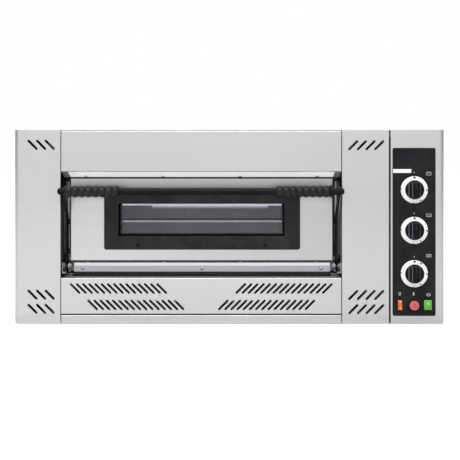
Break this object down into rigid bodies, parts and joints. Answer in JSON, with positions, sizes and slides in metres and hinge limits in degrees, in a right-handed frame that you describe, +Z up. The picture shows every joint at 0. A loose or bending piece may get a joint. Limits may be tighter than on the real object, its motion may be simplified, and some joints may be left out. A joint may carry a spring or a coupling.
{
  "type": "deck oven",
  "caption": "Low wide single-deck gas baking oven in brushed stainless steel with a bottom-hinged window door, beaded bar handle and a side control panel with round dials.",
  "frame": {"origin": "middle of the casing's footprint, on the plane the oven stands on; the front plane is at y = -0.42 m", "axes": "+X to the right seen from the front, +Y to the back, +Z up"},
  "size_m": [1.006, 0.9195, 0.4525],
  "materials": {
    "bead_plastic": "moulded phenolic",
    "black_paint": "satin black",
    "black_plastic": "moulded",
    "brass": "machined",
    "burner_steel": "heat dulled",
    "casing_steel": "brushed",
    "chrome": "polished",
    "cream_plastic": "moulded",
    "dial_white": "printed white",
    "galvanised": "zinc plated",
    "glass": "clear",
    "green_lens": "translucent",
    "inner_steel": "galvanised",
    "liner_steel": "satin, heat dulled",
    "orange_lens": "translucent",
    "panel_black": "printed overlay",
    "red_plastic": "glossy",
    "screw_steel": "satin",
    "seal": "woven heatproof rope",
    "stone": "fired refractory",
    "wool": "mineral wool"
  },
  "bodies": {
    "casing": {"base_tray": "galvanised", "bottom_rail": "casing_steel", "left_side_panel": "casing_steel", "right_front_column": "casing_steel", "control_box_cover": "casing_steel", "top_cover": "casing_steel", "rear_panel": "galvanised", "upper_fascia": "casing_steel", "vent_panel": "casing_steel", "front_frame": "inner_steel", "hinge_rail": "chrome", "hinge_brackets": "screw_steel", "hinge_pins": "screw_steel", "chamber_liner": "liner_steel", "deck_stones": "stone", "stone_supports": "liner_steel", "burner_floor": "liner_steel", "lower_burners": "burner_steel", "upper_burners": "burner_steel", "upper_burner_box": "liner_steel", "insulation_blankets": "wool", "flue_plenum": "galvanised", "flue_spigot": "galvanised", "partition_panel": "galvanised", "lamp_housing": "galvanised", "lamp_lens": "glass", "gas_manifolds": "galvanised", "gas_injectors": "brass", "gas_valves": "brass", "gas_supply_pipe": "galvanised", "gas_inlet_nipple": "brass", "thermostat_body": "cream_plastic", "spark_generator": "cream_plastic", "terminal_block": "cream_plastic", "control_panel": "panel_black", "lamp_switch_body": "black_plastic", "power_switch_body": "black_plastic", "button_body": "black_plastic", "casing_screws": "screw_steel"},
    "door": {"door_skin": "casing_steel", "door_inner_panel": "inner_steel", "door_insulation": "wool", "window_frame": "black_paint", "window_glass": "glass", "window_gasket": "seal", "door_gasket": "seal", "door_arms": "black_paint", "handle_bar": "black_paint", "grip_beads": "bead_plastic", "handle_end_nuts": "black_paint", "door_screws": "screw_steel"},
    "knob_upper": {"knob_upper": "black_plastic", "dial_upper": "dial_white"},
    "knob_lower": {"knob_lower": "black_plastic", "dial_lower": "dial_white"},
    "knob_thermostat": {"knob_thermostat": "black_plastic", "dial_thermostat": "dial_white"},
    "lamp_rocker": {"lamp_rocker": "orange_lens"},
    "power_rocker": {"power_rocker": "green_lens"},
    "ignition_button": {"ignition_button": "red_plastic"}
  },
  "joints": [
    {"name": "door_hinge", "type": "hinge", "parent": "casing", "child": "door", "pos_m": [-0.0656, -0.395, 0.131], "axis": [1, 0, 0], "range_deg": [0, 90]},
    {"name": "knob_upper_turn", "type": "hinge", "parent": "casing", "child": "knob_upper", "pos_m": [0.43, -0.43, 0.313], "axis": [0, -1, 0], "range_deg": [0, 150]},
    {"name": "knob_lower_turn", "type": "hinge", "parent": "casing", "child": "knob_lower", "pos_m": [0.43, -0.43, 0.2185], "axis": [0, -1, 0], "range_deg": [0, 150]},
    {"name": "knob_thermostat_turn", "type": "hinge", "parent": "casing", "child": "knob_thermostat", "pos_m": [0.43, -0.43, 0.1177], "axis": [0, -1, 0], "range_deg": [0, 270]},
    {"name": "lamp_rocker_tilt", "type": "hinge", "parent": "casing", "child": "lamp_rocker", "pos_m": [0.3966, -0.421, 0.0446], "axis": [1, 0, 0], "range_deg": [0, 15]},
    {"name": "power_rocker_tilt", "type": "hinge", "parent": "casing", "child": "power_rocker", "pos_m": [0.4614, -0.421, 0.0446], "axis": [1, 0, 0], "range_deg": [0, 15]},
    {"name": "ignition_button_press", "type": "slide", "parent": "casing", "child": "ignition_button", "axis": [0, 1, 0], "range_m": [0, 0.0035]}
  ]
}
